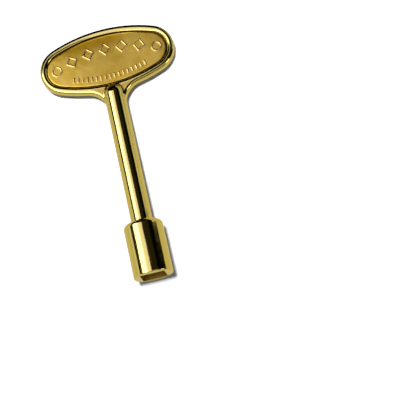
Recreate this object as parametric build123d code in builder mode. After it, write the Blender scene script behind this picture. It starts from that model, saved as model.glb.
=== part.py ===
from build123d import *
import os
from math import asin, atan2, cos, degrees

# A hand key for square valve stems, in brass: a flat oval bow, a round shank and a deep square
# socket. Millimetres. The key lies along Y with the face of its bow up (+Z). The origin is the
# centre of the socket's mouth, and +Y runs up the axis from the mouth to the bow.

# Bow: a four-arc oval plate with a rounded rim round a sunk field, the same on both faces.
BOW_HALF_WIDTH = 23.3
BOW_HALF_HEIGHT = 11.3
BOW_END_RADIUS = 8.5
BOW_CENTRE_Y = 76.9
BOW_THICKNESS = 3.6
RIM_WIDTH = 2.5
RIM_OUTER_RADIUS = 1.25
RIM_INNER_RADIUS = 1.0
FIELD_DEPTH = 0.6

# Neck: the bow's lower edge flares into a round boss that ends in a dome on the rim.
NECK_Y = 60.2
NECK_HALF_WIDTH = 3.3
FLARE_RADIUS = 6.0
DOME_CENTRE_Y = 64.2

# Badges: thin plates let into the two fields. The front one carries a raised pattern.
BADGE_THICKNESS = 0.6
RELIEF_HEIGHT = 0.3
RELIEF_LINE = 0.45
UPPER_ROW_INSET = 7.5
LOZENGE_COUNT = 5
LOZENGE_PITCH = 5.9
LOZENGE_WIDTH = 4.2
LOZENGE_HEIGHT = 4.6
RING_X = 17.4
RING_RADIUS = 1.8
LOWER_ROW_INSET = 4.9
BAR_COUNT = 17
BAR_PITCH = 1.55
BAR_HEIGHT = 1.7

# Shank: a plain rod with a turned spigot at each end, one for the bow and one for the socket.
SHANK_DIAMETER = 7.1
SPIGOT_DIAMETER = 4.5
SPIGOT_LENGTH = 5.1
SPIGOT_CHAMFER = 0.4

# Socket: a 5/16 in square at the mouth that steps down to a 1/4 in square further in.
SOCKET_DIAMETER = 13.0
SHOULDER_Y = 18.1
SOCKET_TOP_Y = 19.1
MOUTH_EDGE_RADIUS = 0.45
SHOULDER_RADIUS = 1.6
COLLAR_FILLET = 0.6
LARGE_SQUARE = 8.0
LARGE_DEPTH = 9.0
SMALL_SQUARE = 6.5
SMALL_DEPTH = 5.0

# Worked out from the above. The oval's end arcs are centred on its long axis and its side arcs
# on its short axis, and they meet where one line passes through both centres.
END_CENTRE_X = BOW_HALF_WIDTH - BOW_END_RADIUS
SIDE_RADIUS = (END_CENTRE_X**2 + BOW_HALF_HEIGHT**2 - BOW_END_RADIUS**2) / (
    2 * (BOW_HALF_HEIGHT - BOW_END_RADIUS)
)
SIDE_CENTRE_OFFSET = SIDE_RADIUS - BOW_HALF_HEIGHT
END_HALF_ANGLE = degrees(atan2(SIDE_CENTRE_OFFSET, END_CENTRE_X))
SIDE_ANGLE = 180 - 2 * END_HALF_ANGLE
FACE_Z = BOW_THICKNESS / 2
FIELD_Z = FACE_Z - FIELD_DEPTH
POCKET_Z = FIELD_Z - BADGE_THICKNESS
SHANK_RADIUS = SHANK_DIAMETER / 2
SPIGOT_RADIUS = SPIGOT_DIAMETER / 2
SOCKET_RADIUS = SOCKET_DIAMETER / 2


def oval(inset=0.0):
    """The bow's four-arc outline as a face, drawn in all round by inset."""
    end = BOW_END_RADIUS - inset
    side = SIDE_RADIUS - inset
    middle = BOW_CENTRE_Y
    with BuildSketch(mode=Mode.PRIVATE) as sketch:
        with BuildLine():
            CenterArc((END_CENTRE_X, middle), end, -END_HALF_ANGLE, 2 * END_HALF_ANGLE)
            CenterArc((0, middle - SIDE_CENTRE_OFFSET), side, END_HALF_ANGLE, SIDE_ANGLE)
            CenterArc((-END_CENTRE_X, middle), end, 180 - END_HALF_ANGLE, 2 * END_HALF_ANGLE)
            CenterArc((0, middle + SIDE_CENTRE_OFFSET), side, 180 + END_HALF_ANGLE, SIDE_ANGLE)
        make_face()
    return sketch.sketch


def row_places(count, pitch, inset, upper):
    """Places in a row that keeps a fixed distance from the bow's upper or lower edge.

    They are a steady pitch apart along X, and each is turned to stand square to the row.
    """
    radius = SIDE_RADIUS - inset
    way = 1 if upper else -1
    places = []
    for i in range(count):
        x = (i - (count - 1) / 2) * pitch
        tilt = asin(x / radius)
        y = BOW_CENTRE_Y + way * (radius * cos(tilt) - SIDE_CENTRE_OFFSET)
        places.append(Location((x, y, 0), (0, 0, -way * degrees(tilt))))
    return places


# Bow: the oval plate and its neck in one outline, with every outer edge rounded over.
with BuildPart() as bow:
    with BuildSketch(Plane.XY.offset(-FACE_Z)):
        add(oval())
        with Locations((0, (NECK_Y + BOW_CENTRE_Y) / 2)):
            Rectangle(2 * NECK_HALF_WIDTH, BOW_CENTRE_Y - NECK_Y)
        fillet(vertices().filter_by(lambda corner: abs(corner.X) < 4).group_by(Axis.Y)[1], FLARE_RADIUS)
    extrude(amount=BOW_THICKNESS)
    outline = faces().filter_by(Axis.Z).edges()
    fillet(outline.filter_by(lambda edge: (edge @ 0.5).Y > NECK_Y + 0.1), RIM_OUTER_RADIUS)

    # A pocket in each face takes a badge and leaves the rim standing proud of it.
    for side in (1, -1):
        with BuildSketch(Plane.XY.offset(side * FACE_Z)):
            add(oval(RIM_WIDTH))
        extrude(amount=-side * (FACE_Z - POCKET_Z), mode=Mode.SUBTRACT)
        lip = edges(Select.LAST).group_by(Axis.Z, reverse=side > 0)[0]
        fillet(lip, RIM_INNER_RADIUS)

    # The boss is a half profile of the round neck and its dome, turned about the key's axis.
    with BuildSketch():
        with BuildLine():
            Polyline(
                (0, DOME_CENTRE_Y + SHANK_RADIUS),
                (0, NECK_Y),
                (SHANK_RADIUS, NECK_Y),
                (SHANK_RADIUS, DOME_CENTRE_Y),
            )
            CenterArc((0, DOME_CENTRE_Y), SHANK_RADIUS, 0, 90)
        make_face()
    revolve(axis=Axis.Y)
    with Locations(Plane((0, NECK_Y, 0), z_dir=(0, -1, 0))):
        Hole(SPIGOT_RADIUS, SPIGOT_LENGTH)


# Badges: the back one is plain.
with BuildPart() as back_badge:
    with BuildSketch(Plane.XY.offset(-FIELD_Z)):
        add(oval(RIM_WIDTH))
    extrude(amount=BADGE_THICKNESS)


# The front badge has an arched row of open lozenges between two rings, and bars below.
with BuildPart() as front_badge:
    with BuildSketch(Plane.XY.offset(POCKET_Z)):
        add(oval(RIM_WIDTH))
    extrude(amount=BADGE_THICKNESS)

    with BuildSketch(Plane.XY.offset(FIELD_Z)):
        with Locations(row_places(LOZENGE_COUNT, LOZENGE_PITCH, UPPER_ROW_INSET, upper=True)):
            with BuildSketch(mode=Mode.PRIVATE) as lozenge:
                Polygon(
                    (LOZENGE_WIDTH / 2, 0),
                    (0, LOZENGE_HEIGHT / 2),
                    (-LOZENGE_WIDTH / 2, 0),
                    (0, -LOZENGE_HEIGHT / 2),
                )
                offset(amount=-RELIEF_LINE, kind=Kind.INTERSECTION, mode=Mode.SUBTRACT)
            add(lozenge.sketch)
    extrude(amount=RELIEF_HEIGHT)

    with BuildSketch(Plane.XY.offset(FIELD_Z)):
        with Locations(row_places(2, 2 * RING_X, UPPER_ROW_INSET, upper=True)):
            Circle(RING_RADIUS)
            Circle(RING_RADIUS - RELIEF_LINE, mode=Mode.SUBTRACT)
    extrude(amount=RELIEF_HEIGHT)

    with BuildSketch(Plane.XY.offset(FIELD_Z)):
        with Locations(row_places(BAR_COUNT, BAR_PITCH, LOWER_ROW_INSET, upper=False)):
            Rectangle(RELIEF_LINE, BAR_HEIGHT)
    extrude(amount=RELIEF_HEIGHT)


# Shank: a half profile with its two spigots, turned about the key's axis.
with BuildPart() as shank:
    with BuildSketch():
        with BuildLine():
            Polyline(
                (0, SOCKET_TOP_Y - SPIGOT_LENGTH),
                (SPIGOT_RADIUS, SOCKET_TOP_Y - SPIGOT_LENGTH),
                (SPIGOT_RADIUS, SOCKET_TOP_Y),
                (SHANK_RADIUS, SOCKET_TOP_Y),
                (SHANK_RADIUS, NECK_Y),
                (SPIGOT_RADIUS, NECK_Y),
                (SPIGOT_RADIUS, NECK_Y + SPIGOT_LENGTH),
                (0, NECK_Y + SPIGOT_LENGTH),
                close=True,
            )
        make_face()
    revolve(axis=Axis.Y)
    chamfer(edges().group_by(Axis.Y)[0] + edges().group_by(Axis.Y)[-1], SPIGOT_CHAMFER)


# Socket: a turned body with a rounded shoulder and a short collar that carries the shank.
with BuildPart() as socket:
    with BuildSketch():
        with BuildLine():
            Polyline(
                (0, 0),
                (SOCKET_RADIUS, 0),
                (SOCKET_RADIUS, SHOULDER_Y),
                (SHANK_RADIUS, SHOULDER_Y),
                (SHANK_RADIUS, SOCKET_TOP_Y),
                (0, SOCKET_TOP_Y),
                close=True,
            )
        make_face()
        fillet(vertices().group_by(Axis.X)[-1].sort_by(Axis.Y)[0], MOUTH_EDGE_RADIUS)
        fillet(vertices().group_by(Axis.X)[-1].sort_by(Axis.Y)[-1], SHOULDER_RADIUS)
        fillet(vertices().sort_by_distance((SHANK_RADIUS, SHOULDER_Y))[0], COLLAR_FILLET)
    revolve(axis=Axis.Y)

    # The stepped square hole, and behind it the round bore for the shank's spigot.
    with BuildSketch(Plane.XZ):
        Rectangle(LARGE_SQUARE, LARGE_SQUARE)
    extrude(amount=-LARGE_DEPTH, mode=Mode.SUBTRACT)
    with BuildSketch(Plane.XZ.offset(-LARGE_DEPTH)):
        Rectangle(SMALL_SQUARE, SMALL_SQUARE)
    extrude(amount=-SMALL_DEPTH, mode=Mode.SUBTRACT)
    with BuildSketch(Plane.XZ.offset(-SOCKET_TOP_Y)):
        Circle(SPIGOT_RADIUS)
    extrude(amount=SPIGOT_LENGTH, mode=Mode.SUBTRACT)


bow.part.label = "bow"
front_badge.part.label = "front_badge"
back_badge.part.label = "back_badge"
shank.part.label = "shank"
socket.part.label = "socket"

os.makedirs("parts", exist_ok=True)
for piece in (bow, front_badge, back_badge, shank, socket):
    export_step(piece.part, f"parts/{piece.part.label}.step")
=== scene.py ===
"""Looks for the square socket key: a brass bow with inlaid badges, a round shank and a socket.

Lengths are in millimetres in the part's own frame: the key lies along Y with the face of its bow
up, along +Z, and the origin is the middle of the socket's mouth. Objects are in metres.
"""

from math import asin, atan2, cos, hypot, pi, radians, sin, tan

import bmesh
import bpy
import numpy as np
from mathutils import Matrix, Vector, noise


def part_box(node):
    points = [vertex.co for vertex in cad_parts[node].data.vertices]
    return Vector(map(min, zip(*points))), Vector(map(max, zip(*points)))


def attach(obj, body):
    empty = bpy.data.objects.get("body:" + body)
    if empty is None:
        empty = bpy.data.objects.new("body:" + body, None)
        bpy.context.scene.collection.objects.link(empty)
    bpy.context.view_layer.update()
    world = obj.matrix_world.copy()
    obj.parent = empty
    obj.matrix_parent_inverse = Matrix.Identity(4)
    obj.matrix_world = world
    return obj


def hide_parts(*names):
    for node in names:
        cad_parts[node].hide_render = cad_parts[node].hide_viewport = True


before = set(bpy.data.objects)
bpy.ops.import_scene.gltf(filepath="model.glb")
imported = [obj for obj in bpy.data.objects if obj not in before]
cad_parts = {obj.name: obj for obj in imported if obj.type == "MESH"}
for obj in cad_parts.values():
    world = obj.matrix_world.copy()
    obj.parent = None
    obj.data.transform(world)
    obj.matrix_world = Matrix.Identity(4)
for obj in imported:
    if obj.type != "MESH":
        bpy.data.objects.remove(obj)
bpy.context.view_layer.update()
MM = 0.001


def node_box(name):
    """Lowest and highest corners of a CAD node, in millimetres."""
    low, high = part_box(name)
    return low / MM, high / MM


BOW_LOW, BOW_HIGH = node_box("bow")
BADGE_LOW, BADGE_HIGH = node_box("back_badge")
SHANK_LOW, SHANK_HIGH = node_box("shank")
_, SOCKET_HIGH = node_box("socket")

# The bow's outline is a four-arc oval: end arcs centred on its long axis, side arcs on its short.
BOW_HALF_WIDTH = BOW_HIGH.x
BOW_HALF_HEIGHT = 11.3
BOW_END_RADIUS = 8.5
BOW_CENTRE_Y = BOW_HIGH.y - BOW_HALF_HEIGHT
END_CENTRE_X = BOW_HALF_WIDTH - BOW_END_RADIUS
SIDE_RADIUS = (END_CENTRE_X**2 + BOW_HALF_HEIGHT**2 - BOW_END_RADIUS**2) / (
    2 * (BOW_HALF_HEIGHT - BOW_END_RADIUS)
)
SIDE_CENTRE_OFFSET = SIDE_RADIUS - BOW_HALF_HEIGHT

# Its rim stands above the badges, which lie in a pocket in each face.
RIM_WIDTH = BOW_HALF_WIDTH - BADGE_HIGH.x
BEAD_RADIUS = RIM_WIDTH / 2
FIELD_Z = -BADGE_LOW.z
POCKET_Z = -BADGE_HIGH.z
RIM_RISE = 0.6
FACE_Z = FIELD_Z + RIM_RISE
BADGE_GAP = 0.08
BADGE_EDGE_RADIUS = 0.15

# The neck flares into the oval, with the end of the shank's boss domed over it.
NECK_Y = BOW_LOW.y
NECK_HALF_WIDTH = 3.3
FLARE_RADIUS = 6.0
DOME_CENTRE_Y = 64.2
DOME_FILLET = 0.45
DOME_FILLET_RUN = 2.0
LEAST_FILLET = 0.01
SHANK_RADIUS = SHANK_HIGH.x
SPIGOT_RADIUS = 2.25
SPIGOT_CHAMFER = 0.4

# Raised pattern on the front badge.
RELIEF_HEIGHT = 0.3
RELIEF_LINE = 0.45
RELIEF_EDGE_RADIUS = 0.12
RELIEF_FILLET = 0.08
UPPER_ROW_INSET = 7.5
LOZENGE_COUNT = 5
LOZENGE_PITCH = 5.9
LOZENGE_HALF_WIDTH = 2.1
LOZENGE_HALF_HEIGHT = 2.3
RING_X = 17.4
RING_RADIUS = 1.8
LOWER_ROW_INSET = 4.9
BAR_COUNT = 17
BAR_PITCH = 1.55
BAR_HALF_HEIGHT = 0.85

# The socket is a round barrel below a collar, with a square hole that narrows in one step.
SOCKET_RADIUS = SOCKET_HIGH.x
COLLAR_Y = SOCKET_HIGH.y
COLLAR_LENGTH = 1.0
SHOULDER_Y = COLLAR_Y - COLLAR_LENGTH
SHOULDER_RADIUS = 1.6
COLLAR_FILLET = 0.6
MOUTH_EDGE_RADIUS = 0.45
MOUTH_LIP = 0.04
LARGE_HALF = 4.0
LARGE_DEPTH = 9.0
SMALL_HALF = 3.25
SMALL_DEPTH = 14.0
SQUARE_CORNER = 0.3
SQUARE_BREAK = 0.08

# Spacing of the nets and rings that the meshes are made from, and room round a net.
BOW_PITCH = 0.2
BOW_ROOM = 0.5
FRONT_BADGE_PITCH = 0.1
BACK_BADGE_PITCH = 0.24
BADGE_ROOM = 0.3
BADGE_CELLS_BELOW = 2.4
RING_COUNT = 192
BARREL_PITCH = 0.5
BARREL_CALM_RINGS = 4

# The bow's net runs on below its neck, to be cut there.
NECK_SPARE = 0.6
NECK_ROOM = 0.9

# How far the metal strays from true, in height and in the spacing of its waves. The badges' fields
# have three such patterns, and each starts at its own place.
SHANK_WAVE = 0.006
SOCKET_WAVE = 0.012
WAVE_SPACING = 2.2
FIELD_WAVES = ((0.17, 14, (102, 18, 3)), (0.01, 1.7, (0, 0, 5)), (0.004, 0.5, (0, 0, 7)))


# ------------------------------------------------------------------ distance fields

# Where no mark is nearer than this, the distance to one is not needed.
FAR = 9.0


def oval_distance(x, y):
    """Signed distance to the bow's oval outline, negative inside."""
    x = np.abs(x)
    y = np.abs(y - BOW_CENTRE_Y)
    by_end = END_CENTRE_X * (y + SIDE_CENTRE_OFFSET) < SIDE_CENTRE_OFFSET * x
    end = np.hypot(x - END_CENTRE_X, y) - BOW_END_RADIUS
    side = np.hypot(x, y + SIDE_CENTRE_OFFSET) - SIDE_RADIUS
    return np.where(by_end, end, side)


def union(a, b, radius):
    """Joins two fields, with a fillet of that radius where they meet."""
    corner = np.hypot(np.maximum(radius - a, 0), np.maximum(radius - b, 0))
    return np.maximum(radius, np.minimum(a, b)) - corner


def overlap(a, b, radius):
    """Keeps what two fields share, with its edge rounded to that radius."""
    corner = np.hypot(np.maximum(radius + a, 0), np.maximum(radius + b, 0))
    return np.minimum(-radius, np.maximum(a, b)) + corner


def ramp(value, start, end):
    """A smooth step from 0 at start to 1 at end."""
    t = np.clip((value - start) / (end - start), 0, 1)
    return t * t * (3 - 2 * t)


def bow_outline(x, y):
    """Signed distance to the outline of the bow and its flared neck."""
    neck = np.maximum(np.abs(x) - NECK_HALF_WIDTH, y - BOW_CENTRE_Y)
    return union(oval_distance(x, y), neck, FLARE_RADIUS)


def boss_field(x, y, z):
    """Distance to the shank's round boss and the dome on its end."""
    return np.sqrt(x**2 + np.maximum(y - DOME_CENTRE_Y, 0) ** 2 + z**2) - SHANK_RADIUS


def bow_field(x, y, z):
    """Distance to the bow's surface, before its neck is cut square."""
    height = np.abs(z) - FACE_Z
    plate = overlap(bow_outline(x, y), height, BEAD_RADIUS)
    in_rim = -oval_distance(x, y) - RIM_WIDTH
    above_floor = np.abs(z) - POCKET_Z
    plate = np.maximum(plate, np.minimum(overlap(in_rim, height, BEAD_RADIUS), above_floor))
    fillet = LEAST_FILLET + DOME_FILLET * ramp(y, NECK_Y, NECK_Y + DOME_FILLET_RUN)
    whole = union(plate, boss_field(x, y, z), fillet)
    return np.maximum(whole, np.minimum(in_rim, above_floor))


def open_neck_field(x, y, z):
    """The same, closed a little below the neck so that its net has an end."""
    return np.maximum(bow_field(x, y, z), NECK_Y - NECK_SPARE - y)


def row_places(count, pitch, inset, way):
    """Middle and tilt of each mark in a row that follows the bow's upper (1) or lower (-1) edge."""
    radius = SIDE_RADIUS - inset
    for i in range(count):
        x = (i - (count - 1) / 2) * pitch
        tilt = asin(x / radius)
        yield x, BOW_CENTRE_Y + way * (radius * cos(tilt) - SIDE_CENTRE_OFFSET), -way * tilt


def lozenge(u, v):
    """Signed distance to a lozenge drawn in one line."""
    slant = hypot(LOZENGE_HALF_WIDTH, LOZENGE_HALF_HEIGHT)
    edge = np.abs(u) * LOZENGE_HALF_HEIGHT + np.abs(v) * LOZENGE_HALF_WIDTH
    edge = (edge - LOZENGE_HALF_WIDTH * LOZENGE_HALF_HEIGHT) / slant
    return np.abs(edge + RELIEF_LINE / 2) - RELIEF_LINE / 2


def ring(u, v):
    """Signed distance to a ring drawn in one line."""
    return np.abs(np.hypot(u, v) - RING_RADIUS + RELIEF_LINE / 2) - RELIEF_LINE / 2


def bar(u, v):
    """Signed distance to a short upright bar."""
    return np.maximum(np.abs(u) - RELIEF_LINE / 2, np.abs(v) - BAR_HALF_HEIGHT)


MARKS = [(ring, place) for place in row_places(2, 2 * RING_X, UPPER_ROW_INSET, 1)]
MARKS += [(lozenge, p) for p in row_places(LOZENGE_COUNT, LOZENGE_PITCH, UPPER_ROW_INSET, 1)]
MARKS += [(bar, place) for place in row_places(BAR_COUNT, BAR_PITCH, LOWER_ROW_INSET, -1)]


def plain_badge_field(x, y, z):
    """Distance to a badge's surface: its outer edge is eased and a little clear of the rim."""
    plate = overlap(oval_distance(x, y) + RIM_WIDTH + BADGE_GAP, z - FIELD_Z, BADGE_EDGE_RADIUS)
    return np.maximum(plate, POCKET_Z - z)


def mark_distance(x, y):
    """Signed distance in plan to the nearest raised mark, as far as it matters."""
    nearest = np.full(np.shape(x), FAR)
    for shape, (middle_x, middle_y, tilt) in MARKS:
        dx, dy = x - middle_x, y - middle_y
        u = dx * cos(tilt) + dy * sin(tilt)
        v = dy * cos(tilt) - dx * sin(tilt)
        nearest = np.minimum(nearest, shape(u, v))
    return nearest


def marked_badge_field(x, y, z):
    """The same with the raised pattern on it."""
    height = z - FIELD_Z - RELIEF_HEIGHT
    raised = overlap(mark_distance(x, y), height, RELIEF_EDGE_RADIUS)
    whole = union(plain_badge_field(x, y, z), raised, RELIEF_FILLET)
    return np.maximum(whole, POCKET_Z - z)


def slopes(field, points, step=0.004):
    """Gradient of a field at each point."""
    steps = step * np.eye(3)
    ahead = [field(*(points + s).T) for s in steps]
    behind = [field(*(points - s).T) for s in steps]
    return (np.array(ahead) - np.array(behind)).T / (2 * step)


def settle(field, points, turns=2, gentlest=0.5):
    """Moves points straight onto a field's surface, whose slope counts as gentlest at least."""
    for _ in range(turns):
        slope = slopes(field, points)
        steep = np.maximum((slope**2).sum(1, keepdims=True), gentlest**2)
        points = points - field(*points.T)[:, None] * slope / steep
    return points


def net_points(values, low, pitch):
    """A point amid the crossings in each cell of a grid that a surface passes through, and a grid
    of the points' numbers."""
    inside = values < 0
    size = np.array(values.shape) - 1
    corners = [np.array((i, j, k)) for i in (0, 1) for j in (0, 1) for k in (0, 1)]
    held = np.zeros(size, int)
    for i, j, k in corners:
        held += inside[i : i + size[0], j : j + size[1], k : k + size[2]]
    cells = np.argwhere((held > 0) & (held < len(corners)))
    numbers = np.full(size, -1)
    numbers[tuple(cells.T)] = np.arange(len(cells))

    total = np.zeros((len(cells), 3))
    crossings = np.zeros((len(cells), 1))
    for corner in corners:
        for axis in np.eye(3, dtype=int)[corner == 0]:
            start = values[tuple((cells + corner).T)]
            end = values[tuple((cells + corner + axis).T)]
            crossed = ((start < 0) != (end < 0))[:, None]
            share = (start / np.where(start == end, 1, start - end))[:, None]
            total += crossed * (corner + share * axis)
            crossings += crossed
    return np.array(low) + pitch * (cells + total / crossings), numbers


def net_quads(inside, numbers):
    """A quad round each edge of the grid that the surface crosses, facing out."""
    quads = []
    for axis, size in enumerate(numbers.shape):
        one, two = (axis + 1) % 3, (axis + 2) % 3
        near = np.take(inside, range(size), axis)
        far = np.take(inside, range(1, size + 1), axis)
        for edges, order in (
            (np.argwhere(near & ~far), (0, 1, 2, 3)),
            (np.argwhere(~near & far), (3, 2, 1, 0)),
        ):
            around = []
            for back_one, back_two in ((1, 1), (0, 1), (0, 0), (1, 0)):
                cell = edges.copy()
                cell[:, one] -= back_one
                cell[:, two] -= back_two
                around.append(numbers[tuple(cell.T)])
            quads.append(np.array(around).T[:, order])
    return np.concatenate(quads)


def even_out(field, points, quads, turns=3):
    """Spaces a net's points evenly and keeps them on the field's surface."""
    sides = np.concatenate([quads[:, [i, (i + 1) % 4]] for i in range(4)])
    sides = np.concatenate([sides, sides[:, ::-1]])
    sharers = np.bincount(sides[:, 0], minlength=len(points))[:, None]
    points = settle(field, points)
    for _ in range(turns):
        sums = [np.bincount(sides[:, 0], points[sides[:, 1], i], len(points)) for i in range(3)]
        points = settle(field, (points + np.stack(sums, 1) / sharers) / 2)
    return points


def surface_net(field, low, high, pitch):
    """Points and quads of a field's surface between two corners, about a pitch apart."""
    axes = [np.arange(low[i], high[i] + pitch, pitch) for i in range(3)]
    values = field(*np.meshgrid(*axes, indexing="ij"))
    points, numbers = net_points(values, low, pitch)
    quads = net_quads(values < 0, numbers)
    return even_out(field, points, quads), quads


# ------------------------------------------------------------------ meshes

# Points this near a surface, in millimetres, lie on it.
TOUCH = 0.01

# A face looks along an axis when its normal has at least this much of it.
SQUARE_ON = 0.99

# Edges that turn more than this stay sharp.
BADGE_SHARP = radians(50)
TURNED_SHARP = radians(35)

# Ramps of a distance in millimetres, from where a tone or a wave starts to where it is full.
WEB_IN_OUTLINE = (0.9, 1.5)
WEB_OFF_OVAL = (-1.2, -0.7)
WEB_OFF_BOSS = (0.05, 0.4)
RIM_FOOT = (RIM_WIDTH - 0.35, RIM_WIDTH - 0.2)
WAVES_OFF_RIM = (0.1, 0.6)
WAVES_NEAR_FACE = (FIELD_Z - 0.2, FIELD_Z - 0.05)
MARK_EDGE = (-0.08, 0.02)
# Where the painted shade along a badge's edge ends.
BADGE_FOOT = (0.08, 0.18)
# Where the painted shade on the badge's upper left starts and is full.
SHADE_UPWARDS = (2, 7)
SHADE_LEFTWARDS = (2, 10)


def mesh_points(mesh):
    """A mesh's vertices in millimetres, as an array."""
    flat = np.empty(len(mesh.vertices) * 3)
    mesh.vertices.foreach_get("co", flat)
    return flat.reshape(-1, 3) / MM


def mark_points(mesh, name, values):
    """Stores a number at each vertex for a material to read."""
    mesh.attributes.new(name, "FLOAT", "POINT").data.foreach_set("value", values)


def rough(point, wavelength):
    """Smooth noise between about -1 and 1 whose features are that far apart."""
    return noise.noise(Vector(point) / wavelength)


def new_object(name, data):
    """Adds an object to the scene."""
    obj = bpy.data.objects.new(name, data)
    bpy.context.scene.collection.objects.link(obj)
    return obj


def piece(name, mesh, material, node):
    """Adds a finished mesh as the piece that stands for a CAD node."""
    obj = new_object(name, mesh)
    mesh.materials.append(material)
    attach(obj, "root")
    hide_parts(node)
    return obj


def bore_neck(bm):
    """Cuts the bow's net square at the neck and bores it for the spigot, in millimetres."""
    neck = Vector((0, NECK_Y, 0))
    everything = bm.verts[:] + bm.edges[:] + bm.faces[:]
    bmesh.ops.bisect_plane(bm, geom=everything, plane_co=neck, plane_no=(0, 1, 0), clear_inner=True)
    near_cut = [v for v in bm.verts if v.co.y < NECK_Y + BOW_PITCH / 4]
    bmesh.ops.remove_doubles(bm, verts=near_cut, dist=BOW_PITCH / 10)
    outline = [e for e in bm.edges if e.is_boundary]
    for vert in {v for e in outline for v in e.verts}:
        vert.co.y = NECK_Y

    upright = Matrix.Translation(neck) @ Matrix.Rotation(pi / 2, 4, "X")
    circle = bmesh.ops.create_circle(
        bm, segments=RING_COUNT // 2, radius=SPIGOT_RADIUS, matrix=upright
    )
    bore = list(dict.fromkeys(e for v in circle["verts"] for e in v.link_edges))
    bmesh.ops.triangle_fill(bm, edges=outline + bore, use_beauty=True)
    depth = Vector((0, SHANK_HIGH.y - NECK_Y, 0))
    floor = {v: bm.verts.new(v.co + depth) for v in circle["verts"]}
    for start, end in [edge.verts for edge in bore]:
        bm.faces.new((start, end, floor[end], floor[start]))
    bm.faces.new(floor.values())
    bmesh.ops.recalc_face_normals(bm, faces=bm.faces)


def set_bow_normals(mesh, points):
    """Shades the bow by its field's slope, and its flat neck and its bore by their own faces."""
    normals = slopes(bow_field, points)
    normals /= np.linalg.norm(normals, axis=1, keepdims=True)
    drilled = np.hypot(points[:, 0], points[:, 2]) < SPIGOT_RADIUS + TOUCH
    drilled &= points[:, 1] < SHANK_HIGH.y + TOUCH
    machined = drilled | (points[:, 1] < NECK_Y + TOUCH / 10)
    loops = []
    for face in mesh.polygons:
        flat = machined[list(face.vertices)].all()
        loops += [face.normal if flat else normals[v] for v in face.vertices]
    mesh.normals_split_custom_set(loops)


def make_bow(material):
    """The bow: netted from its field, then cut and bored at the neck."""
    low = (-BOW_HALF_WIDTH - BOW_ROOM, NECK_Y - NECK_ROOM, -SHANK_RADIUS - BOW_ROOM)
    high = (BOW_HALF_WIDTH + BOW_ROOM, BOW_HIGH.y + BOW_ROOM, SHANK_RADIUS + BOW_ROOM)
    points, quads = surface_net(open_neck_field, low, high, BOW_PITCH)
    mesh = bpy.data.meshes.new("bow")
    mesh.from_pydata(points.tolist(), [], quads.tolist())
    bm = bmesh.new()
    bm.from_mesh(mesh)
    bore_neck(bm)
    bmesh.ops.scale(bm, vec=(MM, MM, MM), verts=bm.verts)
    bm.to_mesh(mesh)
    bm.free()
    mesh.shade_smooth()
    points = mesh_points(mesh)
    set_bow_normals(mesh, points)

    # The flares between the rim and the boss are dull, and shade is painted along the foot of the
    # rim.
    x, y, z = points.T
    oval = oval_distance(x, y)
    web = ramp(-bow_outline(x, y), *WEB_IN_OUTLINE) * ramp(oval, *WEB_OFF_OVAL)
    web *= ramp(boss_field(x, y, z), *WEB_OFF_BOSS)
    mark_points(mesh, "dull", web)
    mark_points(mesh, "painted_groove_shade", ramp(-oval, *RIM_FOOT))
    return piece("bow_casting", mesh, material, "bow")


def make_badge(name, side, field, pitch, material, node):
    """A badge: netted, given the cast surface's slight unevenness, and backed by one flat face."""
    room = BADGE_ROOM
    low = (-BADGE_HIGH.x - room, BADGE_LOW.y - room, POCKET_Z - BADGE_CELLS_BELOW * pitch)
    high = (BADGE_HIGH.x + room, BADGE_HIGH.y + room, FIELD_Z + RELIEF_HEIGHT + room)
    points, quads = surface_net(field, low, high, pitch)
    from_rim = -oval_distance(points[:, 0], points[:, 1]) - RIM_WIDTH
    free = ramp(from_rim, *WAVES_OFF_RIM) * ramp(points[:, 2], *WAVES_NEAR_FACE)
    for i in np.flatnonzero(free):
        x, y = points[i, :2]
        stray = 0
        for height, spacing, (start_x, start_y, start_z) in FIELD_WAVES:
            stray += height * rough((x + start_x, y + start_y, side * start_z), spacing)
        points[i, 2] += free[i] * stray
    points[:, 2] *= side
    mesh = bpy.data.meshes.new(name)
    mesh.from_pydata((points * MM).tolist(), [], quads[:, ::side].tolist())

    bm = bmesh.new()
    bm.from_mesh(mesh)
    bm.normal_update()
    back = [f for f in bm.faces if f.normal.z * side < -SQUARE_ON]
    bmesh.ops.dissolve_faces(bm, faces=back, use_verts=True)
    bm.to_mesh(mesh)
    bm.free()
    mesh.shade_smooth()
    mesh.set_sharp_from_angle(angle=BADGE_SHARP)

    # The marks are rubbed bright and carry a painted highlight, the upper left is darkened as
    #     # painted shade, and shade is painted along the edge.
    x, y, _ = mesh_points(mesh).T
    marked = field is marked_badge_field
    upper_left = ramp(y - BOW_CENTRE_Y, *SHADE_UPWARDS) * (1 - ramp(x, *SHADE_LEFTWARDS))
    mark_points(mesh, "raised", marked * (1 - ramp(mark_distance(x, y), *MARK_EDGE)))
    mark_points(mesh, "painted_upper_shade", upper_left)
    mark_points(mesh, "painted_groove_shade", 1 - ramp(-oval_distance(x, y) - RIM_WIDTH, *BADGE_FOOT))
    return piece(name, mesh, material, node)


def loft(name, rings, end_caps):
    """Joins rings of equal count into a skin, closed by flat caps or by a loop back to the start."""
    count = len(rings[0])
    verts = [(x * MM, y * MM, z * MM) for ring_points in rings for x, y, z in ring_points]
    faces = []
    last = len(rings) - 1
    for r in range(last if end_caps else last + 1):
        a, b = r * count, (r + 1) % len(rings) * count
        faces += [(a + i, a + (i + 1) % count, b + (i + 1) % count, b + i) for i in range(count)]
    if end_caps:
        faces += [tuple(range(count))[::-1], tuple(range(last * count, (last + 1) * count))]
    mesh = bpy.data.meshes.new(name)
    mesh.from_pydata(verts, [], faces)
    bm = bmesh.new()
    bm.from_mesh(mesh)
    bmesh.ops.recalc_face_normals(bm, faces=bm.faces)
    bm.to_mesh(mesh)
    bm.free()
    mesh.shade_smooth()
    mesh.set_sharp_from_angle(angle=TURNED_SHARP)
    return mesh


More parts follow.
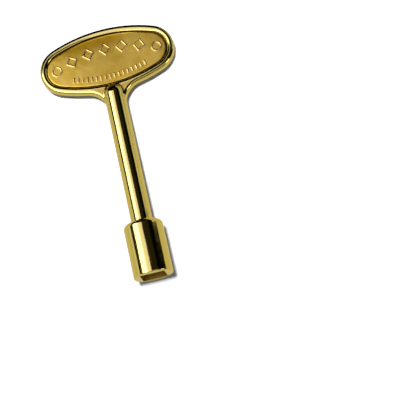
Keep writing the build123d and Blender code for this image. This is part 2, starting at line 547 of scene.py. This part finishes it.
def circle_ring(radius, y):
    """A ring of points round the key's axis."""
    turns = [2 * pi * i / RING_COUNT for i in range(RING_COUNT)]
    return [(radius * cos(t), y, radius * sin(t)) for t in turns]


def square_ring(half, y, corner=SQUARE_CORNER):
    """A square with rounded corners, its points spread by angle so that it lofts to a circle."""
    points = []
    for x, _, z in circle_ring(1, y):
        scale = half / max(abs(x), abs(z))
        x, z = x * scale, z * scale
        over_x, over_z = abs(x) - half + corner, abs(z) - half + corner
        if over_x > 0 and over_z > 0:
            pull = corner / hypot(over_x, over_z)
            x = (half - corner + over_x * pull) * (1 if x > 0 else -1)
            z = (half - corner + over_z * pull) * (1 if z > 0 else -1)
        points.append((x, y, z))
    return points


def arc(centre_radius, centre_y, radius, start, end, steps=10):
    """Rings that follow an arc of the profile: 0 degrees is straight out, 90 is along +Y."""
    for i in range(steps + 1):
        t = radians(start + (end - start) * i / steps)
        yield circle_ring(centre_radius + radius * cos(t), centre_y + radius * sin(t))


def barrel(radius, start, end, wave):
    """Rings along a cylinder whose skin strays by up to wave, as hand polishing leaves it, and is
    true at both ends."""
    steps = round(abs(end - start) / BARREL_PITCH)
    for i in range(1, steps):
        y = start + (end - start) * i / steps
        hold = min(1, i / BARREL_CALM_RINGS, (steps - i) / BARREL_CALM_RINGS)
        points = []
        for x, _, z in circle_ring(1, y):
            stray = wave * hold * rough((x * radius, y / 2, z * radius), WAVE_SPACING)
            points.append((x * (radius + stray), y, z * (radius + stray)))
        yield points


def make_shank(material):
    """The shank: a round rod with a thinner, chamfered spigot at each end."""
    low, high = SHANK_LOW.y, SHANK_HIGH.y
    tip = SPIGOT_RADIUS - SPIGOT_CHAMFER
    rings = [circle_ring(tip, low), circle_ring(SPIGOT_RADIUS, low + SPIGOT_CHAMFER)]
    rings += [circle_ring(SPIGOT_RADIUS, COLLAR_Y), circle_ring(SHANK_RADIUS, COLLAR_Y)]
    rings += barrel(SHANK_RADIUS, COLLAR_Y, NECK_Y, SHANK_WAVE)
    rings += [circle_ring(SHANK_RADIUS, NECK_Y), circle_ring(SPIGOT_RADIUS, NECK_Y)]
    rings += [circle_ring(SPIGOT_RADIUS, high - SPIGOT_CHAMFER), circle_ring(tip, high)]
    return piece("shank_rod", loft("shank", rings, True), material, "shank")


def make_socket(material, broached):
    """The socket: down the outside from its collar, then up the stepped square hole inside."""
    collar = SHANK_RADIUS + COLLAR_FILLET
    top = SOCKET_RADIUS - SHOULDER_RADIUS
    mouth = SOCKET_RADIUS - MOUTH_EDGE_RADIUS
    shoulder = SHOULDER_Y - SHOULDER_RADIUS
    rings = [circle_ring(SPIGOT_RADIUS, COLLAR_Y), circle_ring(SHANK_RADIUS, COLLAR_Y)]
    rings += arc(collar, SHOULDER_Y + COLLAR_FILLET, COLLAR_FILLET, 180, 270)
    rings += arc(top, shoulder, SHOULDER_RADIUS, 90, 0, 16)
    rings += barrel(SOCKET_RADIUS, shoulder, MOUTH_EDGE_RADIUS, SOCKET_WAVE)
    rings += arc(mouth, MOUTH_EDGE_RADIUS, MOUTH_EDGE_RADIUS, 0, -90)
    rings += [circle_ring(mouth - MOUTH_LIP, 0), square_ring(LARGE_HALF + SQUARE_BREAK, 0)]
    rings += [square_ring(LARGE_HALF, SQUARE_BREAK), square_ring(LARGE_HALF, LARGE_DEPTH)]
    rings += [square_ring(SMALL_HALF, LARGE_DEPTH), square_ring(SMALL_HALF, SMALL_DEPTH)]
    rings += [circle_ring(SPIGOT_RADIUS, SMALL_DEPTH)]
    mesh = loft("socket", rings, False)
    obj = piece("socket_body", mesh, material, "socket")
    mesh.materials.append(broached)
    for face in mesh.polygons:
        x, y, z = face.center / MM
        in_hole = max(abs(x), abs(z)) < LARGE_HALF + SQUARE_BREAK / 2
        face.material_index = int(in_hole and SQUARE_BREAK / 4 < y < SMALL_DEPTH + TOUCH)
    return obj


# ------------------------------------------------------------------ materials


# Colours of the brass, from its lacquered outside to the walls of its hole.
LEMON = (0.76, 0.595, 0.150)
GREENISH = (0.72, 0.575, 0.160)
DULL_WEB = (0.74, 0.53, 0.09)
GOLD = (0.90, 0.62, 0.10)
DEEP_GOLD = (0.71, 0.445, 0.035)
# Rubbed brass of the raised marks, brightened further as a painted highlight.
RUBBED_HIGHLIGHT = (0.95, 0.72, 0.26)
# Painted shade for the upper left of the badges.
UPPER_SHADE_TONE = (0.58, 0.33, 0.015)
# Near black, painted as shade in the groove at the foot of the rim.
GROOVE_SHADE = (0.14, 0.10, 0.025)
BROWN = (0.56, 0.36, 0.05)
DEEP_BROWN = (0.32, 0.18, 0.02)

# How a Mix node numbers its sockets, which come in one set for each kind of value.
MIX_NUMBERS, MIX_NUMBER_OUT = (2, 3), 0
MIX_COLOURS, MIX_COLOUR_OUT = (6, 7), 2


class Brass:
    """A metal's node tree, with short calls for the nodes used here. It works in millimetres."""

    def __init__(self, name):
        self.material = bpy.data.materials.new(name)
        self.material.use_nodes = True
        self.tree = self.material.node_tree
        coordinates = self.tree.nodes.new("ShaderNodeTexCoord")
        self.position = self.stretch(coordinates.outputs["Object"], (1 / MM,) * 3)

    def link(self, source, target):
        self.tree.links.new(source, target)

    def stretch(self, vector, scale):
        """A position scaled along each axis."""
        node = self.tree.nodes.new("ShaderNodeMapping")
        node.inputs["Scale"].default_value = scale
        self.link(vector, node.inputs["Vector"])
        return node.outputs["Vector"]

    def noise(self, scale, detail=3.0, roughness=0.5, vector=None):
        """Noise with that many features to a millimetre."""
        node = self.tree.nodes.new("ShaderNodeTexNoise")
        node.inputs["Scale"].default_value = scale
        node.inputs["Detail"].default_value = detail
        node.inputs["Roughness"].default_value = roughness
        self.link(vector or self.position, node.inputs["Vector"])
        return node.outputs["Fac"]

    def spread(self, value, low, high, start=0.3, end=0.7):
        """Maps the range that noise mostly keeps to onto another."""
        node = self.tree.nodes.new("ShaderNodeMapRange")
        settings = {"From Min": start, "From Max": end, "To Min": low, "To Max": high}
        for key, number in settings.items():
            node.inputs[key].default_value = number
        self.link(value, node.inputs["Value"])
        return node.outputs["Result"]

    def blend(self, factor, first, second):
        """Goes from one colour or colour output to another."""
        node = self.tree.nodes.new("ShaderNodeMix")
        node.data_type = "RGBA"
        self.link(factor, node.inputs["Factor"])
        for index, value in zip(MIX_COLOURS, (first, second)):
            if isinstance(value, tuple):
                node.inputs[index].default_value = (*value, 1)
            else:
                self.link(value, node.inputs[index])
        return node.outputs[MIX_COLOUR_OUT]

    def mix(self, factor, first, second):
        """Goes from a number output to a plain number."""
        node = self.tree.nodes.new("ShaderNodeMix")
        self.link(factor, node.inputs[0])
        self.link(first, node.inputs[MIX_NUMBERS[0]])
        node.inputs[MIX_NUMBERS[1]].default_value = second
        return node.outputs[MIX_NUMBER_OUT]

    def attribute(self, name):
        """A number that the mesh stores at its points."""
        node = self.tree.nodes.new("ShaderNodeAttribute")
        node.attribute_name = name
        return node.outputs["Fac"]

    def bump(self, height, depth, after=None):
        """Bump that many millimetres deep, on top of another bump."""
        node = self.tree.nodes.new("ShaderNodeBump")
        node.inputs["Strength"].default_value = 1
        node.inputs["Distance"].default_value = depth * MM
        self.link(height, node.inputs["Height"])
        if after:
            self.link(after, node.inputs["Normal"])
        return node.outputs["Normal"]

    def finish(self, tone, gloss, normal):
        """Joins everything to the shader and returns the material."""
        shader = self.tree.nodes["Principled BSDF"].inputs
        shader["Metallic"].default_value = 1
        self.link(tone, shader["Base Color"])
        self.link(gloss, shader["Roughness"])
        self.link(normal, shader["Normal"])
        return self.material


def polished_brass():
    """Bright lacquered brass: a little tone and gloss variation, faint waviness, and painted shade
    at the foot of the rim.
    """
    brass = Brass("polished_brass")
    dull = brass.attribute("dull")
    tone = brass.blend(brass.spread(brass.noise(0.35, 4), 0, 1), LEMON, GREENISH)
    tone = brass.blend(dull, tone, DULL_WEB)
    # Painted shade: a dark line along the foot of the rim.
    tone = brass.blend(brass.attribute("painted_groove_shade"), tone, GROOVE_SHADE)
    gloss = brass.mix(dull, brass.spread(brass.noise(1.6, 5, 0.6), 0.09, 0.16), 0.33)
    wavy = brass.bump(brass.noise(0.7, 2), 0.004)
    return brass.finish(tone, gloss, brass.bump(brass.noise(2.4, 4, 0.65), 0.0028, wavy))


def satin_brass():
    """The badge's brass: duller, deeper in tone, mottled and grained. Its raised marks are rubbed
    and carry a painted highlight, and painted shade darkens its upper left and its edge.
    """
    brass = Brass("satin_brass")
    raised = brass.attribute("raised")
    tone = brass.blend(brass.spread(brass.noise(0.22, 5, 0.6), 0, 1), GOLD, DEEP_GOLD)
    # Painted shade: the upper left of the badge is darker.
    tone = brass.blend(brass.attribute("painted_upper_shade"), tone, UPPER_SHADE_TONE)
    # The raised marks are rubbed glossier, and their colour is brightened as a painted highlight.
    tone = brass.blend(raised, tone, RUBBED_HIGHLIGHT)
    # Painted shade: a dark line along the badge's edge, in the groove at the foot of the rim.
    tone = brass.blend(brass.attribute("painted_groove_shade"), tone, GROOVE_SHADE)
    gloss = brass.mix(raised, brass.spread(brass.noise(0.8, 5, 0.6), 0.29, 0.36), 0.16)
    grain = brass.bump(brass.noise(2.6, 3, 0.6), 0.013)
    return brass.finish(tone, gloss, brass.bump(brass.noise(9, 2, 0.5), 0.004, grain))


def broached_brass():
    """The square hole's walls: rough and brown, scored along the hole by the broach."""
    brass = Brass("broached_brass")
    scores = brass.noise(1, 4, 0.65, brass.stretch(brass.position, (7, 0.25, 7)))
    tone = brass.blend(brass.spread(scores, 0, 1), BROWN, DEEP_BROWN)
    return brass.finish(tone, brass.spread(scores, 0.38, 0.55), brass.bump(scores, 0.03))


# ------------------------------------------------------------------ stage, lights and camera

# The table and the backdrop, with radii in metres.
TABLE_RADIUS = 1.6
TABLE_TONE = (0.86, 0.86, 0.87)
REFLECTED_TONE = (0.44, 0.415, 0.28)
REFLECTED_PAST_BOW = 4
TABLE_GAP = 0.04
BACKDROP_RADIUS = 2.5

# The two large panels lie along the key, their middles this far from it.
PANEL_DISTANCE = 800
PANEL_Y = -360
PANEL_LENGTH = 1660

# Colours of the lights.
COOL = (1, 1, 1.15)
BLUISH = (0.85, 0.84, 1.25)
AMBER = (1, 0.9, 0.4)
SKY = (0.65, 0.78, 1.0)

# The camera is fitted to the photograph: lens and place in millimetres, roll in degrees.
CAMERA_LENS = 108.56
CAMERA_POSITION = Vector((41.22, -93.14, 373.93))
CAMERA_TARGET = Vector((19.92, 20.96, 0))
CAMERA_ROLL = -24.15


def plain_material(name, colour):
    """A matt material for what stands round the key."""
    material = bpy.data.materials.new(name)
    material.use_nodes = True
    shader = material.node_tree.nodes["Principled BSDF"].inputs
    shader["Base Color"].default_value = (*colour, 1)
    shader["Roughness"].default_value = 0.9
    shader["Specular IOR Level"].default_value = 0.1
    return material


def resting_plane():
    """Tilt and height at the origin of the table, a hair below the shoulder and the far rim."""
    shoulder = Vector((SHOULDER_Y - SHOULDER_RADIUS, SHOULDER_RADIUS - SOCKET_RADIUS))
    rim = Vector((BOW_HIGH.y - BEAD_RADIUS, BEAD_RADIUS - FACE_Z))
    apart = rim - shoulder
    tilt = atan2(apart.y, apart.x) + asin((SHOULDER_RADIUS - BEAD_RADIUS) / apart.length)
    height = (shoulder.y * cos(tilt) - shoulder.x * sin(tilt) - SHOULDER_RADIUS) / cos(tilt)
    return tilt, height - TABLE_GAP


def add_disc(name, tone, place):
    """A plain round table top at that place."""
    mesh = bpy.data.meshes.new(name)
    bm = bmesh.new()
    bmesh.ops.create_circle(bm, cap_ends=True, segments=96, radius=TABLE_RADIUS, matrix=place)
    bm.to_mesh(mesh)
    bm.free()
    mesh.materials.append(plain_material(name, tone))
    return new_object(name, mesh)


def add_table():
    """A plain pale table for the key to lie on. Reflections see a warmer grey copy of it, which
    ends just beyond the bow so that the far rim has a dark edge."""
    tilt, height = resting_plane()
    place = Matrix.Translation((0, 0, height * MM)) @ Matrix.Rotation(tilt, 4, "X")
    table = add_disc("table", TABLE_TONE, place)
    table.visible_glossy = False

    reflected = add_disc("table_reflected", REFLECTED_TONE, place)
    reflected.visible_camera = False
    reflected.visible_diffuse = False
    reflected.visible_shadow = False
    shift = (BOW_HIGH.y + REFLECTED_PAST_BOW) * MM - TABLE_RADIUS
    reflected.location = (0, shift, shift * tan(tilt) + TABLE_GAP / 2 * MM)


def add_backdrop():
    """A pale dome round everything that only cameras see."""
    mesh = bpy.data.meshes.new("backdrop")
    bm = bmesh.new()
    bmesh.ops.create_icosphere(bm, subdivisions=4, radius=BACKDROP_RADIUS)
    bm.to_mesh(mesh)
    bm.free()
    material = plain_material("backdrop", (0, 0, 0))
    shader = material.node_tree.nodes["Principled BSDF"].inputs
    shader["Emission Color"].default_value = (1, 1, 1, 1)
    shader["Emission Strength"].default_value = 1.0
    mesh.materials.append(material)
    backdrop = new_object("backdrop", mesh)
    backdrop.visible_diffuse = False
    backdrop.visible_glossy = False
    backdrop.visible_shadow = False


def add_panel(name, position, size, radiance, target=(0, 45, 0), colour=(1, 1, 1), up=(0, 1, 0)):
    """A rectangular light facing a target, in millimetres, that only the brass sees. Its second
    size runs towards up."""
    light = bpy.data.lights.new(name, "AREA")
    light.shape = "RECTANGLE"
    light.size, light.size_y = size[0] * MM, size[1] * MM
    light.color = colour
    light.energy = radiance * pi * light.size * light.size_y
    facing = Vector(position) - Vector(target)
    across = Vector(up).cross(facing).normalized()
    along = facing.normalized().cross(across)
    turn = Matrix((across, along, facing.normalized())).transposed().to_4x4()
    panel = new_object(name, light)
    panel.matrix_world = Matrix.Translation(Vector(position) * MM) @ turn
    panel.visible_camera = False
    panel.visible_diffuse = False


def from_key(angle, distance, y=45):
    """A point at that angle from straight up towards +X, in the plane across the key."""
    return distance * sin(radians(angle)), y, distance * cos(radians(angle))


def add_long_panel(name, angle, width, radiance, colour):
    """A panel that lights the key along its whole length, from that angle off straight up."""
    position = from_key(angle, PANEL_DISTANCE, PANEL_Y)
    add_panel(name, position, (width, PANEL_LENGTH), radiance, (0, PANEL_Y, 0), colour)


def add_lights():
    """Panels up to the left, low white cards, and a high lamp that only the table sees."""
    add_long_panel("main_panel", -38.5, 400, 3.7, COOL)
    add_long_panel("top_panel", -12.3, 350, 1.35, BLUISH)
    add_panel("ceiling", (300, 0, 1100), (1100, 3000), 0.02, (300, 0, 0), AMBER)
    add_panel("left_card", from_key(-82, 700), (200, 1500), 0.82)
    add_panel("right_card", (250, 445, 58), (112, 700), 0.68, (0, 445, 0))
    add_panel("front_card", (160, -290, 310), (300, 260), 0.6, (0, 0, 0), up=(0, 0, 1))
    add_panel("front_lamp", (390, -215, 165), (160, 160), 3.5)

    lamp = new_object("high_lamp", bpy.data.lights.new("high_lamp", "SUN"))
    lamp.data.energy = 4.6
    lamp.data.angle = radians(11)
    lamp.rotation_mode = "QUATERNION"
    lamp.rotation_quaternion = Vector((-0.045, 0.05, 1)).to_track_quat("Z", "Y")
    lamp.visible_glossy = False

    world = bpy.data.worlds.new("studio")
    world.use_nodes = True
    background = world.node_tree.nodes["Background"].inputs
    background["Color"].default_value = (*SKY, 1)
    background["Strength"].default_value = 0.2
    bpy.context.scene.world = world
    world.cycles_visibility.glossy = False


def add_camera():
    """The camera, at the photograph's viewing angle."""
    camera = new_object("camera", bpy.data.cameras.new("camera"))
    camera.data.lens = CAMERA_LENS
    camera.data.clip_start = 0.01
    roll = Matrix.Rotation(radians(CAMERA_ROLL), 4, "Z")
    turn = (CAMERA_POSITION - CAMERA_TARGET).to_track_quat("Z", "Y").to_matrix().to_4x4()
    camera.matrix_world = Matrix.Translation(CAMERA_POSITION * MM) @ turn @ roll
    bpy.context.scene.camera = camera


# ------------------------------------------------------------------ the scene

polished = polished_brass()
satin = satin_brass()
make_bow(polished)
make_badge("badge_front", 1, marked_badge_field, FRONT_BADGE_PITCH, satin, "front_badge")
make_badge("badge_back", -1, plain_badge_field, BACK_BADGE_PITCH, satin, "back_badge")
make_shank(polished)
make_socket(polished, broached_brass())
add_table()
add_backdrop()
add_lights()
add_camera()
bpy.context.scene.view_settings.view_transform = "Standard"
